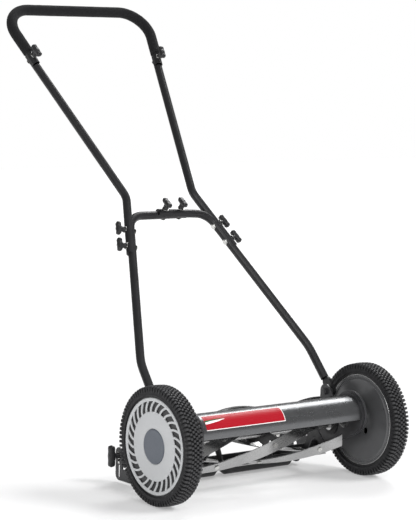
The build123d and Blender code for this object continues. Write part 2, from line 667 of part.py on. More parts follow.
def lower_tube_point(along, s, shift=0.0):
    """Point on a lower tube's centre line, or shifted outward across it."""
    direction = lower_direction(s)
    reach = (along - LOWER_BEND_ALONG) / (LEG_CORNER_ALONG[s] - LOWER_BEND_ALONG)
    span = (Vector(*leg_axis(s)[0]) - Vector(*mirrored(BEND_POINT, s))).length
    return tuple(Vector(*mirrored(BEND_POINT, s)) + direction * span * reach + side_out(s) * shift)


def knob_bolt_hole(seat, axis, length, mode=Mode.SUBTRACT):
    """Hole for one knob bolt, centred on seat."""
    middle = Vector(*seat)
    reach = Vector(*axis).normalized() * length
    rod(tuple(middle - reach), tuple(middle + reach), BOLT_R + FIT, mode)


for side, s in SIDES:
    with BuildPart() as lower_tube:
        direction = (Vector(*BEND_POINT) - Vector(*PIVOT_POINT)).normalized()
        start = tuple(Vector(*PIVOT_POINT) + direction * TUBE_START)
        corner, leg_end = leg_axis(s)
        lower_path = handle_path(
            [mirrored(start, s), mirrored(BEND_POINT, s), corner, leg_end],
            [LOWER_BEND_R, CORNER_R],
        )
        swept_tube(lower_path, TUBE_R, TUBE_BORE)
        leg_way = (Vector(*leg_end) - Vector(*corner)).normalized()
        rod(tuple(Vector(*corner) + leg_way * LEG_FILL_START), leg_end, NEST_FILL_R)
        tab_angle = degrees(acos(direction.Y / sqrt(direction.Y**2 + direction.Z**2)))
        tab_plane = side_plane(s * (PIVOT_X - TAB_T / 2))
        tab_end = (PIVOT[0] + 24 * cos(radians(tab_angle)), PIVOT[1] + 24 * sin(radians(tab_angle)))
        with BuildSketch(tab_plane, mode=Mode.PRIVATE) as tab:
            add(link((PIVOT[0], PIVOT[1], 12.5), (tab_end[0], tab_end[1], 12.5)))
        extrude(tab.sketch, amount=s * TAB_T)
        tab_top = Vector(*mirrored(PIVOT_POINT, s)) + Vector(s * direction.X, direction.Y, direction.Z) * 18
        tube_start = Vector(*mirrored(start, s))
        unit = Vector(s * direction.X, direction.Y, direction.Z)
        with BuildSketch(Plane(origin=tab_top, x_dir=(1, 0, 0), z_dir=unit), mode=Mode.PRIVATE) as flat_end:
            Rectangle(TAB_T, 25.0)
        round_plane = Plane(origin=tube_start + unit * 4, x_dir=(1, 0, 0), z_dir=unit)
        with BuildSketch(round_plane, mode=Mode.PRIVATE) as round_end:
            Circle(TUBE_R)
        loft([flat_end.sketch, round_end.sketch])
        tube_x(PIVOT, s * (PIVOT_X - TAB_T), s * (PIVOT_X + TAB_T), PIVOT_BOLT_R + FIT, 0.0, Mode.SUBTRACT)
        if s < 0:
            far_corner, far_end = leg_axis(1)
            rod(far_corner, tuple(Vector(*far_end) - Vector(4, 0, 0)), TUBE_R + NEST_GAP, Mode.SUBTRACT)
        for x in CENTRE_KNOBS_X:
            knob_bolt_hole(lower_point(x, LEG_ALONG), OUT_CENTRE, 30)
        for along in SIDE_KNOBS_ALONG:
            knob_bolt_hole(lower_tube_point(along, s), tuple(side_out(s)), 20)
    lower_tube.part.label = side + "_lower_tube"
    export_step(lower_tube.part, "parts/" + side + "_lower_tube.step")

    with BuildPart() as middle_tube:
        low = lower_tube_point(MIDDLE_LOW_ALONG, s, NEST)
        nest_top = lower_tube_point(SIDE_NEST_END, s, NEST)
        bend = lower_tube_point(MIDDLE_BEND_ALONG, s, NEST)
        top = upper_point(s * upper_half_width(MIDDLE_TOP_UP), MIDDLE_TOP_UP, -NEST / 2)
        swept_tube(handle_path([low, bend, top], [MIDDLE_BEND_R]), TUBE_R, TUBE_BORE)
        rod(low, nest_top, NEST_FILL_R)
        rod(upper_point(s * upper_half_width(LOOP_LOW_UP - 4), LOOP_LOW_UP - 4, -NEST / 2), top, NEST_FILL_R)
        swept_tube(lower_path, TUBE_R + NEST_GAP, mode=Mode.SUBTRACT)
        rod(
            upper_point(s * upper_half_width(LOOP_LOW_UP - 3), LOOP_LOW_UP - 3, LOOP_OUT),
            upper_point(s * upper_half_width(MIDDLE_TOP_UP + 10), MIDDLE_TOP_UP + 10, LOOP_OUT),
            TUBE_R + NEST_GAP, Mode.SUBTRACT,
        )
        for along in SIDE_KNOBS_ALONG:
            knob_bolt_hole(lower_tube_point(along, s), tuple(side_out(s)), 30)
        knob_bolt_hole(upper_point(s * upper_half_width(LOOP_KNOB_UP), LOOP_KNOB_UP), OUT_UPPER, 20)
    middle_tube.part.label = side + "_middle_tube"
    export_step(middle_tube.part, "parts/" + side + "_middle_tube.step")


def loop_path(low_up):
    """Centre line of the loop from one bare end round to the other."""
    top_x = upper_half_width(LOOP_TOP_UP)
    return handle_path(
        [
            upper_point(-upper_half_width(low_up), low_up, LOOP_OUT),
            upper_point(-top_x, LOOP_TOP_UP, LOOP_OUT),
            upper_point(top_x, LOOP_TOP_UP, LOOP_OUT),
            upper_point(upper_half_width(low_up), low_up, LOOP_OUT),
        ],
        [LOOP_R, LOOP_R],
    )


with BuildPart() as handle_loop:
    swept_tube(loop_path(LOOP_LOW_UP), TUBE_R, TUBE_BORE)
    for _, s in SIDES:
        knob_bolt_hole(upper_point(s * upper_half_width(LOOP_KNOB_UP), LOOP_KNOB_UP), OUT_UPPER, 20)
handle_loop.part.label = "handle_loop"
export_step(handle_loop.part, "parts/handle_loop.step")

with BuildPart() as foam_grip:
    swept_tube(loop_path(FOAM_LOW_UP), FOAM_R, TUBE_R + FIT)
foam_grip.part.label = "foam_grip"
export_step(foam_grip.part, "parts/foam_grip.step")

# Every joint that a wing knob clamps: the knob's name, the point where its bolt crosses the joint, the bolt's
# direction, the way the wings lie, and how far the knob's seat and the bolt's head are from that point.
KNOB_SEAT_GAP = 0.3
CENTRE_WING_TURN = -0.15
knobs = []
for number, x in enumerate(CENTRE_KNOBS_X):
    reach = NEST / 2 + TUBE_R + LEG_SLACK
    wings = (CENTRE_WING_TURN, -cos(LOWER_TILT), -sin(LOWER_TILT))
    spot = lower_point(x, LEG_ALONG)
    knobs.append(("centre_knob_" + str(number + 1), spot, OUT_CENTRE, wings, reach, reach))
for side, s in SIDES:
    for place, along in zip(("upper", "lower"), SIDE_KNOBS_ALONG):
        name = side + "_" + place + "_side_knob"
        spot = lower_tube_point(along, s)
        knobs.append((name, spot, tuple(side_out(s)), tuple(lower_direction(s)), NEST + TUBE_R, TUBE_R))
    spot = upper_point(s * upper_half_width(LOOP_KNOB_UP), LOOP_KNOB_UP)
    wings = (s * UPPER_SPREAD, cos(UPPER_TILT), sin(UPPER_TILT))
    knobs.append((side + "_loop_knob", spot, OUT_UPPER, wings, NEST / 2 + TUBE_R, NEST / 2 + TUBE_R))

WING_SPAN = 35.0
WING_W = 13.0
NECK = 14.0
WING_T = 11.0
WING_BITE = 3.0
KNOB_FOOT_R = 7.0
KNOB_SHOULDER_R = 5.0
HEIGHT_WING_SPAN = 50.0
HEIGHT_WING_W = 14.0
HEIGHT_NECK = 15.0
HEIGHT_WING_T = 14.0


def wing_knob(name, base, axis, wings, span, width, thick, neck):
    """Write one knob: a tapered neck with a blind bolt hole and a pair of wings across its end."""
    seat_plane = Plane(origin=base, x_dir=wings, z_dir=axis)
    with BuildPart() as knob:
        with BuildSketch(seat_plane, mode=Mode.PRIVATE) as foot:
            Circle(KNOB_FOOT_R)
        with BuildSketch(seat_plane.offset(neck), mode=Mode.PRIVATE) as shoulder:
            Circle(KNOB_SHOULDER_R)
        loft([foot.sketch, shoulder.sketch])
        with BuildSketch(seat_plane.offset(neck - WING_BITE), mode=Mode.PRIVATE) as wing:
            SlotOverall(span, width)
        extrude(wing.sketch, amount=thick)
        with BuildSketch(seat_plane, mode=Mode.PRIVATE) as bore:
            Circle(BOLT_R + FIT)
        extrude(bore.sketch, amount=neck, mode=Mode.SUBTRACT)
    knob.part.label = name
    export_step(knob.part, "parts/" + name + ".step")


for name, spot, axis, wings, seat, _ in knobs:
    base = Vector(*spot) + Vector(*axis).normalized() * (seat + KNOB_SEAT_GAP)
    wing_knob(name, base, axis, wings, WING_SPAN, WING_W, WING_T, NECK)
for side, s in SIDES:
    base = (s * (CARRIAGE_X + CARRIAGE_T + KNOB_SEAT_GAP), AXLE_Y + HEIGHT_BOLT[0], HEIGHT_BOLT[1])
    name = side + "_height_knob"
    wing_knob(name, base, (s, 0, 0), (0, 0, 1), HEIGHT_WING_SPAN, HEIGHT_WING_W, HEIGHT_WING_T, HEIGHT_NECK)

BOLT_HEAD_R = 7.0
BOLT_HEAD_T = 3.0
with BuildPart() as handle_bolts:
    for _, spot, axis, _, seat, head in knobs:
        unit = Vector(*axis).normalized()
        middle = Vector(*spot)
        rod(tuple(middle - unit * (head + 1)), tuple(middle + unit * (seat + NECK - 2)), BOLT_R)
        rod(tuple(middle - unit * (head + BOLT_HEAD_T)), tuple(middle - unit * (head + FIT)), BOLT_HEAD_R)
handle_bolts.part.label = "handle_bolts"
export_step(handle_bolts.part, "parts/handle_bolts.step")
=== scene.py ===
"""Reel mower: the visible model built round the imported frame, with its materials, lights and camera."""

import json
import math
import random

import bmesh
import bpy
from mathutils import Matrix, Vector


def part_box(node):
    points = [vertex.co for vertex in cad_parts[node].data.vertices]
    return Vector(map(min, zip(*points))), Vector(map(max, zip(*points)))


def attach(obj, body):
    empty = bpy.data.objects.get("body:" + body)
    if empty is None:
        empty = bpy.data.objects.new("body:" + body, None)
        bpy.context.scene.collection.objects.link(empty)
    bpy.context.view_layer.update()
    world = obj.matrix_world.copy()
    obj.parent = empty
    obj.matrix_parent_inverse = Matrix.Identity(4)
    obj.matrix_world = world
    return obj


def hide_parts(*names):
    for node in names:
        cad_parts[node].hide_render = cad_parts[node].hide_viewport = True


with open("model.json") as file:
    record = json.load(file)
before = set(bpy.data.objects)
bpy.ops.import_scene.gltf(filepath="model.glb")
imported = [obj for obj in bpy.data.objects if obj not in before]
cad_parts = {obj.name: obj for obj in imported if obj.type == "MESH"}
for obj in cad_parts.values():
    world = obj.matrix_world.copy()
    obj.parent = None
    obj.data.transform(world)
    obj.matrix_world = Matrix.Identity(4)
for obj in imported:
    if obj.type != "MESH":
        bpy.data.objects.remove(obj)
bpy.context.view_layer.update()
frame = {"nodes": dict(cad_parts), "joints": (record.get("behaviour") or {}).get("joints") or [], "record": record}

MM = 0.001
NODES = frame["nodes"]
JOINTS = {joint["name"]: joint for joint in frame["joints"]}
SIDES = (("left", -1), ("right", 1))


def joint_point(name):
    """Point of a joint's axis, in the row frame."""
    return Vector(JOINTS[name]["pos_m"])


def joint_axis(name):
    """Unit axis of a joint, in the row frame."""
    return Vector(JOINTS[name]["axis"]).normalized()


AXLE = joint_point("left_wheel_spin")
REEL = joint_point("reel_spin")

# Wheel sizes.
WHEEL_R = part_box("left_tyre")[1].z - AXLE.z
TYRE_MIDDLE_X = (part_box("right_tyre")[0].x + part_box("right_tyre")[1].x) / 2
LUGS = 84
VENTS = 28

# Shroud sizes: angles run from the rear (+Y) over the top to the front.
SHROUD_R = 41 * MM
SHROUD_HALF_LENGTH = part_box("shroud")[1].x
SHROUD_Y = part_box("shroud")[0].y + SHROUD_R
SHROUD_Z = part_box("shroud")[1].z - SHROUD_R
SHROUD_SHEET = 1.6 * MM
SHROUD_REAR = 50
SHROUD_FRONT = 190
BAND_TOP = 111
BAND_BOTTOM = 163.6
BAND_RIGHT_X = 6 * MM
BAND_LEFT_X = -205 * MM

# Handle sizes, as the tubes' CAD bodies have them.
TUBE_R = 9.5 * MM
FOAM_R = 13 * MM
NEST = 4.5 * MM
UPPER_TILT = math.radians(48.5)
UPPER_SPREAD = 0.2036
LOOP_R = 65 * MM
LEG_SLACK = 0.5 * MM


# ---------------------------------------------------------------- mesh helpers
def piece(name, vertices, faces, sharp=40):
    """New smooth-shaded mesh object with edges sharper than the given angle kept crisp."""
    mesh = bpy.data.meshes.new(name)
    mesh.from_pydata([tuple(v) for v in vertices], [], faces)
    shell = bmesh.new()
    shell.from_mesh(mesh)
    bmesh.ops.recalc_face_normals(shell, faces=shell.faces)
    shell.to_mesh(mesh)
    shell.free()
    mesh.polygons.foreach_set("use_smooth", [True] * len(mesh.polygons))
    mesh.set_sharp_from_angle(angle=math.radians(sharp))
    obj = bpy.data.objects.new(name, mesh)
    bpy.context.scene.collection.objects.link(obj)
    return obj


def finished(obj, material, body, slot, *replaced):
    """Give a piece its material and its body, and hide the CAD nodes it stands for. The slot is not used."""
    obj.data.materials.clear()
    obj.data.materials.append(material)
    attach(obj, body)
    if replaced:
        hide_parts(*replaced)
    return obj


def applied(obj, sharp=40):
    """Turn an object's modifiers into plain mesh."""
    bpy.context.view_layer.update()
    graph = bpy.context.evaluated_depsgraph_get()
    mesh = bpy.data.meshes.new_from_object(obj.evaluated_get(graph))
    obj.modifiers.clear()
    obj.data = mesh
    mesh.polygons.foreach_set("use_smooth", [True] * len(mesh.polygons))
    mesh.set_sharp_from_angle(angle=math.radians(sharp))
    return obj


def bevelled(obj, width, segments=2, angle=30, sharp=40):
    """Round an object's sharp edges."""
    rounding = obj.modifiers.new("rounding", "BEVEL")
    rounding.width = width
    rounding.segments = segments
    rounding.limit_method = "ANGLE"
    rounding.angle_limit = math.radians(angle)
    return applied(obj, sharp)


def side_point(x, y, z):
    """Point given by its X, and by its Y and Z from the axle's foot on the ground, in millimetres."""
    return Vector((x * MM, AXLE.y + y * MM, z * MM))


def ring(x, radius, steps):
    """Circle of points about the axle."""
    points = []
    for step in range(steps):
        angle = 2 * math.pi * step / steps
        points.append(Vector((x, AXLE.y + radius * math.cos(angle), AXLE.z + radius * math.sin(angle))))
    return points


def tube_faces(rows, steps):
    """Faces of a solid tube made of rows of points: the wall between the rows and the two ends."""
    faces = []
    for row in range(rows - 1):
        low = row * steps
        high = low + steps
        for step in range(steps):
            beside = (step + 1) % steps
            faces.append((low + step, low + beside, high + beside, high + step))
    faces.append(tuple(range(steps)))
    faces.append(tuple(range((rows - 1) * steps, rows * steps)))
    return faces


def lathe(name, profile, steps=144, sharp=40):
    """Closed body of revolution about the axle from a closed outline of (x, radius) in millimetres."""
    vertices = []
    faces = []
    for x, radius in profile:
        vertices += ring(x * MM, radius * MM, steps)
    count = len(profile)
    for row in range(count):
        after = (row + 1) % count
        low = row * steps
        high = after * steps
        for step in range(steps):
            beside = (step + 1) % steps
            faces.append((low + step, low + beside, high + beside, high + step))
    return piece(name, vertices, faces, sharp)


def axis_frame(origin, axis, across):
    """Matrix whose Z is the axis and whose X lies as near to across as it can."""
    z = axis.normalized()
    x = (across - z * across.dot(z)).normalized()
    y = z.cross(x)
    turn = Matrix((x, y, z)).transposed().to_4x4()
    return Matrix.Translation(origin) @ turn


def turned_at(place, profile, steps=40):
    """Vertices and faces of a solid turned about a frame's Z, from (height, radius) in millimetres."""
    vertices = []
    for height, radius in profile:
        for step in range(steps):
            angle = 2 * math.pi * step / steps
            spot = Vector((radius * MM * math.cos(angle), radius * MM * math.sin(angle), height * MM))
            vertices.append(place @ spot)
    return vertices, tube_faces(len(profile), steps)


def gathered(name, parts, sharp=40):
    """One piece from several (vertices, faces) pairs."""
    vertices = []
    faces = []
    for part_vertices, part_faces in parts:
        start = len(vertices)
        vertices += part_vertices
        faces += [tuple(start + index for index in face) for face in part_faces]
    return piece(name, vertices, faces, sharp)


def swept(name, points, radii, steps, sharp=50):
    """Solid round bar through points, with a radius at each."""
    vertices = []
    side = None
    for index, point in enumerate(points):
        before = points[max(index - 1, 0)]
        after = points[min(index + 1, len(points) - 1)]
        along = (after - before).normalized()
        if side is None:
            side = along.orthogonal().normalized()
        side = (side - along * side.dot(along)).normalized()
        other = along.cross(side)
        for step in range(steps):
            angle = 2 * math.pi * step / steps
            vertices.append(point + (side * math.cos(angle) + other * math.sin(angle)) * radii[index])
    return piece(name, vertices, tube_faces(len(points), steps), sharp)


# ---------------------------------------------------------------- materials
SHADER_SOCKETS = {
    "metallic": "Metallic", "coat": "Coat Weight", "coat_roughness": "Coat Roughness",
    "specular": "Specular IOR Level", "sheen": "Sheen Weight", "sheen_roughness": "Sheen Roughness",
}
AXLE_SPAN = 0.2
TREAD_LOW_R = 0.1222
TREAD_HIGH_R = 0.1256


class Surface:
    """A node material under construction: every pattern runs in object space, in metres."""

    def __init__(self, name):
        self.material = bpy.data.materials.new(name)
        self.material.use_nodes = True
        self.tree = self.material.node_tree
        self.shader = self.tree.nodes["Principled BSDF"]
        self.place = self.node("ShaderNodeTexCoord").outputs["Object"]
        self.height = None

    def node(self, kind):
        return self.tree.nodes.new(kind)

    def link(self, source, target):
        self.tree.links.new(source, target)

    def set(self, **values):
        """Fixed values on the shader's own sockets."""
        for key, value in values.items():
            self.shader.inputs[SHADER_SOCKETS[key]].default_value = value
        return self

    def stretched(self, scales):
        """Object coordinates stretched along the axes."""
        mapping = self.node("ShaderNodeMapping")
        mapping.inputs["Scale"].default_value = scales
        self.link(self.place, mapping.inputs["Vector"])
        return mapping.outputs["Vector"]

    def noise(self, scale, detail=3.0, rough=0.55, vector=None):
        """Noise value at a scale in cycles a metre."""
        noise = self.node("ShaderNodeTexNoise")
        noise.inputs["Scale"].default_value = scale
        noise.inputs["Detail"].default_value = detail
        noise.inputs["Roughness"].default_value = rough
        self.link(vector or self.place, noise.inputs["Vector"])
        return noise.outputs["Fac"]

    def cells(self, scale):
        """Distance field of scattered cells."""
        cells = self.node("ShaderNodeTexVoronoi")
        cells.inputs["Scale"].default_value = scale
        self.link(self.place, cells.inputs["Vector"])
        return cells.outputs["Distance"]

    def ramp(self, value, stops):
        """Colours or grey values over a 0 to 1 value."""
        ramp = self.node("ShaderNodeValToRGB")
        while len(ramp.color_ramp.elements) < len(stops):
            ramp.color_ramp.elements.new(0.5)
        for element, (at, colour) in zip(ramp.color_ramp.elements, stops):
            element.position = at
            element.color = (colour, colour, colour, 1) if isinstance(colour, float) else (*colour, 1)
        self.link(value, ramp.inputs["Fac"])
        return ramp.outputs["Color"]

    def mixed(self, factor, low, high):
        """Blend two colours, each a colour or a socket, by a value."""
        mix = self.node("ShaderNodeMix")
        mix.data_type = "RGBA"
        self.link(factor, mix.inputs["Factor"])
        for socket, colour in ((mix.inputs[6], low), (mix.inputs[7], high)):
            if isinstance(colour, tuple):
                socket.default_value = (*colour, 1)
            else:
                self.link(colour, socket)
        return mix.outputs[2]

    def colour(self, source):
        if isinstance(source, tuple):
            self.shader.inputs["Base Color"].default_value = (*source, 1)
        else:
            self.link(source, self.shader.inputs["Base Color"])
        return self

    def roughness_from(self, value, low, high):
        """Roughness that runs from low to high over a value."""
        self.link(self.ramp(value, ((0.3, low), (0.7, high))), self.shader.inputs["Roughness"])
        return self

    def bump(self, value, distance, strength):
        """Raise the surface by a value, in metres, on top of earlier bumps."""
        bump = self.node("ShaderNodeBump")
        bump.inputs["Strength"].default_value = strength
        bump.inputs["Distance"].default_value = distance
        self.link(value, bump.inputs["Height"])
        if self.height:
            self.link(self.height, bump.inputs["Normal"])
        self.height = bump.outputs["Normal"]
        self.link(self.height, self.shader.inputs["Normal"])
        return self

    def from_axle(self):
        """Distance from the wheels' axle as a share of AXLE_SPAN."""
        offset = self.node("ShaderNodeVectorMath")
        offset.operation = "SUBTRACT"
        offset.inputs[1].default_value = (0.0, AXLE.y, AXLE.z)
        self.link(self.place, offset.inputs[0])
        flat = self.node("ShaderNodeVectorMath")
        flat.operation = "MULTIPLY"
        flat.inputs[1].default_value = (0.0, 1 / AXLE_SPAN, 1 / AXLE_SPAN)
        self.link(offset.outputs["Vector"], flat.inputs[0])
        length = self.node("ShaderNodeVectorMath")
        length.operation = "LENGTH"
        self.link(flat.outputs["Vector"], length.inputs[0])
        return length.outputs["Value"]

    def painted_edge_highlight(self, radius):
        """Value that is high where the surface turns a corner: the mask of the painted highlight on edges."""
        rounded = self.node("ShaderNodeBevel")
        rounded.samples = 4
        rounded.inputs["Radius"].default_value = radius
        flat = self.node("ShaderNodeNewGeometry").outputs["Normal"]
        dot = self.node("ShaderNodeVectorMath")
        dot.operation = "DOT_PRODUCT"
        self.link(rounded.outputs["Normal"], dot.inputs[0])
        self.link(flat, dot.inputs[1])
        return self.ramp(dot.outputs["Value"], ((0.9, 1.0), (0.985, 0.0)))


def powder_coat(name, colour, roughness, edge_highlight_colour=(0.16, 0.16, 0.17), metallic=0.0, specular=0.5):
    """Satin paint on metal with a fine orange-peel skin, dusty patches and a painted highlight on its edges."""
    surface = Surface(name)
    patches = surface.noise(22, 4)
    lighter = tuple(min(1.0, c * 1.35 + 0.004) for c in colour)
    base = surface.mixed(patches, colour, lighter)
    # Painted highlight: corners get a lighter colour where rounded edges would catch light.
    surface.colour(surface.mixed(surface.painted_edge_highlight(0.6 * MM), base, edge_highlight_colour))
    surface.roughness_from(surface.noise(60, 4), roughness - 0.07, roughness + 0.08)
    surface.bump(surface.noise(900, 2), 0.06 * MM, 0.5)
    return surface.set(metallic=metallic, specular=specular, coat=0.06, coat_roughness=0.25).material


def moulded(name, colour, roughness):
    """Moulded plastic with a fine spark-eroded grain."""
    surface = Surface(name)
    bright = tuple(min(1.0, c * 1.3 + 0.003) for c in colour)
    surface.colour(surface.mixed(surface.noise(35, 3), colour, bright))
    surface.roughness_from(surface.noise(80, 3), roughness - 0.06, roughness + 0.08)
    surface.bump(surface.noise(1400, 3, 0.7), 0.05 * MM, 0.6)
    return surface.material


def tread_rubber():
    """Matt rubber with dust patches, darkened by painted shade down into the gaps between the lugs, with a painted
    highlight on the lugs' edges.
    """
    surface = Surface("tyre_rubber")
    dust = surface.noise(70, 5, 0.65)
    base = surface.mixed(dust, (0.008, 0.008, 0.009), (0.022, 0.022, 0.024))
    # Painted shade: the colour darkens with nearness to the axle, down into the gaps between the lugs.
    stops = ((TREAD_LOW_R / AXLE_SPAN, 0.0), (TREAD_HIGH_R / AXLE_SPAN, 1.0))
    lug_root_shade_mask = surface.ramp(surface.from_axle(), stops)
    dust_and_root_shade = surface.mixed(lug_root_shade_mask, base, (0.040, 0.040, 0.042))
    # Painted highlight on the lugs' edges.
    surface.colour(surface.mixed(surface.painted_edge_highlight(0.7 * MM), dust_and_root_shade, (0.060, 0.060, 0.062)))
    surface.roughness_from(surface.noise(160, 4), 0.46, 0.66)
    surface.bump(surface.noise(700, 4, 0.7), 0.12 * MM, 0.6)
    return surface.set(specular=0.35).material


def closed_foam():
    """Closed-cell foam: matt black with tiny pores."""
    surface = Surface("grip_foam")
    pores = surface.cells(900)
    surface.colour(surface.mixed(surface.noise(120, 4), (0.006, 0.006, 0.007), (0.014, 0.014, 0.015)))
    surface.roughness_from(surface.noise(200, 3), 0.78, 0.92)
    surface.bump(pores, 0.22 * MM, 0.5)
    surface.bump(surface.noise(260, 3), 0.25 * MM, 0.35)
    return surface.set(sheen=0.05, sheen_roughness=0.5, specular=0.2).material


def ground_steel(name, colour, low, high, along=(1, 30, 30), scale=55.0, dark=0.72):
    """Bare steel with grinding marks along X and slight tarnish."""
    surface = Surface(name)
    lines = surface.noise(scale, 4, 0.6, surface.stretched(along))
    stain = surface.noise(26, 4)
    dull = tuple(c * dark for c in colour)
    surface.colour(surface.mixed(stain, colour, dull))
    surface.roughness_from(lines, low, high)
    surface.bump(lines, 0.03 * MM, 0.35)
    return surface.set(metallic=1.0).material


def metallic_paint():
    """Grey metallic paint with fine flake over lightly rippled sheet, and a painted highlight on its edges."""
    surface = Surface("shroud_paint")
    flake = surface.cells(2600)
    base = surface.mixed(flake, (0.19, 0.193, 0.198), (0.105, 0.108, 0.112))
    # Painted highlight: lighter grey on the sheet's edges.
    surface.colour(surface.mixed(surface.painted_edge_highlight(0.7 * MM), base, (0.32, 0.32, 0.33)))
    surface.roughness_from(surface.noise(45, 3), 0.25, 0.34)
    surface.bump(surface.noise(14, 2), 0.35 * MM, 0.25)
    surface.bump(flake, 0.02 * MM, 0.1)
    return surface.set(metallic=0.85, coat=0.15, coat_roughness=0.22).material


def print_ink(name, colour, darker):
    """Printed film: even colour with a faint dot grain and a soft gloss."""
    surface = Surface(name)
    surface.colour(surface.mixed(surface.noise(380, 3), colour, darker))
    surface.roughness_from(surface.noise(60, 3), 0.36, 0.46)
    surface.bump(surface.noise(500, 2), 0.03 * MM, 0.4)
    return surface.set(specular=0.25, coat=0.08, coat_roughness=0.25).material


def hub_plastic(name, low, high, roughness):
    """Light moulded plastic with a sparkle grain."""
    surface = Surface(name)
    grain = surface.noise(420, 4, 0.7)
    surface.colour(surface.mixed(grain, low, high))
    surface.roughness_from(surface.noise(50, 3), roughness - 0.05, roughness + 0.07)
    surface.bump(grain, 0.06 * MM, 0.5)
    return surface.material


MATERIALS = {
    # The fourth argument of powder_coat is the colour of the painted highlight on edges.
    "handle_paint": powder_coat(
        "handle_paint", (0.010, 0.010, 0.011), 0.40, (0.05, 0.05, 0.052), specular=0.3
    ),
    "grip_foam": closed_foam(),
    "knob_plastic": moulded("knob_plastic", (0.009, 0.009, 0.010), 0.42),
    "tyre_rubber": tread_rubber(),
    "wheel_plastic": moulded("wheel_plastic", (0.012, 0.012, 0.013), 0.5),
    "hubcap_plastic": hub_plastic("hubcap_plastic", (0.50, 0.51, 0.52), (0.60, 0.61, 0.62), 0.42),
    "cap_plastic": hub_plastic("cap_plastic", (0.10, 0.115, 0.14), (0.13, 0.145, 0.17), 0.48),
    "frame_paint": powder_coat("frame_paint", (0.022, 0.022, 0.024), 0.42),
    "cover_paint": powder_coat("cover_paint", (0.085, 0.086, 0.089), 0.34, (0.42, 0.42, 0.42), metallic=0.25),
    "shroud_paint": metallic_paint(),
    "blade_steel": ground_steel("blade_steel", (0.50, 0.50, 0.50), 0.2, 0.38),
    "spider_paint": powder_coat("spider_paint", (0.014, 0.014, 0.015), 0.38),
    "bright_steel": ground_steel("bright_steel", (0.55, 0.55, 0.55), 0.2, 0.36, (30, 1, 1)),
    "zinc_plate": ground_steel("zinc_plate", (0.68, 0.68, 0.66), 0.18, 0.34, (1, 1, 1), 200.0, 0.85),
    "gear_steel": powder_coat("gear_steel", (0.03, 0.028, 0.026), 0.45, (0.2, 0.2, 0.2), 0.8),
    "roller_plastic": moulded("roller_plastic", (0.012, 0.012, 0.013), 0.5),
    "bearing_plastic": moulded("bearing_plastic", (0.02, 0.02, 0.021), 0.5),
}
VENT_SHADE = hub_plastic("vent_shade", (0.030, 0.030, 0.031), (0.055, 0.055, 0.056), 0.5)
BAND_RED = print_ink("band_red", (0.36, 0.004, 0.013), (0.31, 0.004, 0.012))
BAND_WHITE = print_ink("band_white", (0.86, 0.86, 0.86), (0.80, 0.80, 0.80))
BAND_GREEN = print_ink("band_green", (0.02, 0.13, 0.05), (0.015, 0.10, 0.04))

for entry in frame["record"]["subparts"]:
    node = NODES[entry["node"]]
    node.data.materials.clear()
    node.data.materials.append(MATERIALS[entry["material_slot"]])


# ---------------------------------------------------------------- wheels
TREAD_DEPTH = 4.8
CARCASS = (
    (-18.2, 106.0), (-19.6, 106.6), (-20.1, 108.4), (-19.4, 109.6), (-19.2, 111.0), (-19.4, 113.0),
    (-18.6, 116.4), (-16.8, 119.2), (-13.0, 121.0), (-7.0, 121.8), (0.0, 122.0), (7.0, 121.8),
    (13.0, 121.0), (16.8, 119.2), (18.6, 116.4), (19.4, 113.0), (19.2, 111.0), (19.4, 109.6),
    (20.1, 108.4), (19.6, 106.6), (18.2, 106.0),
)
SHOULDER_LUG = ((12.3, 120.0), (12.9, 126.3), (17.9, 125.9), (20.4, 123.0), (20.45, 114.6), (18.4, 113.4))
BLOCK_COLUMNS = (-9.3, -3.1, 3.1, 9.3)
BLOCK_HALF_W = 2.4
BLOCK_FLARE = 0.3
BLOCK_SUNK = 0.9
ROOT_SHARE = 0.33
LUG_TOP_SHARE = 0.25
BLOCK_TOP_SHARE = 0.26
CROWN_DROP = 0.0065


def crown(x):
    """Radius of the tread's top at a distance from the tyre's middle, in millimetres."""
    return WHEEL_R / MM - CROWN_DROP * x * x


def tread_block(outline, middle_x, angle, inner_half, outer_half):
    """Tapered block from an outline of (x, radius): it is wide at its root and narrow at its top."""
    root = min(radius for _, radius in outline)
    top = max(radius for _, radius in outline)
    vertices = []
    for way in (-1, 1):
        for x, radius in outline:
            rise = (radius - root) / (top - root)
            turn = angle + way * (inner_half + (outer_half - inner_half) * rise)
            y = AXLE.y + radius * MM * math.cos(turn)
            vertices.append(Vector((middle_x + x * MM, y, AXLE.z + radius * MM * math.sin(turn))))
    count = len(outline)
    faces = [tuple(range(count)), tuple(range(2 * count - 1, count - 1, -1))]
    for index in range(count):
        after = (index + 1) % count
        faces.append((index, after, count + after, count + index))
    return vertices, faces


def tyre(side, s):
    """Moulded tyre: a smooth carcass, wrapped shoulder lugs and staggered rows of small blocks."""
    body = side + "_wheel"
    middle_x = s * TYRE_MIDDLE_X
    profile = [(s * (TYRE_MIDDLE_X / MM + x), radius) for x, radius in CARCASS]
    carcass = lathe(side + "_tyre_carcass", profile, steps=176, sharp=60)
    finished(carcass, MATERIALS["tyre_rubber"], body, "tyre_rubber", side + "_tyre")
    pitch = 2 * math.pi / LUGS
    blocks = []
    for lug in range(LUGS):
        for way in (-1, 1):
            outline = [(way * x, radius) for x, radius in SHOULDER_LUG]
            angle = (lug + (0.5 if way > 0 else 0.0)) * pitch
            blocks.append(tread_block(outline, middle_x, angle, ROOT_SHARE * pitch, LUG_TOP_SHARE * pitch))
        for column, x in enumerate(BLOCK_COLUMNS):
            low = crown(x) - TREAD_DEPTH - BLOCK_SUNK
            high = crown(x)
            outline = (
                (x - BLOCK_HALF_W - BLOCK_FLARE, low), (x - BLOCK_HALF_W, high),
                (x + BLOCK_HALF_W, high), (x + BLOCK_HALF_W + BLOCK_FLARE, low),
            )
            angle = (lug + 0.5 * (column % 2) + 0.25) * pitch
            blocks.append(tread_block(outline, middle_x, angle, ROOT_SHARE * pitch, BLOCK_TOP_SHARE * pitch))
    tread = gathered(side + "_tyre_tread", blocks)
    finished(bevelled(tread, 0.45 * MM, 1), MATERIALS["tyre_rubber"], body, "tyre_rubber")


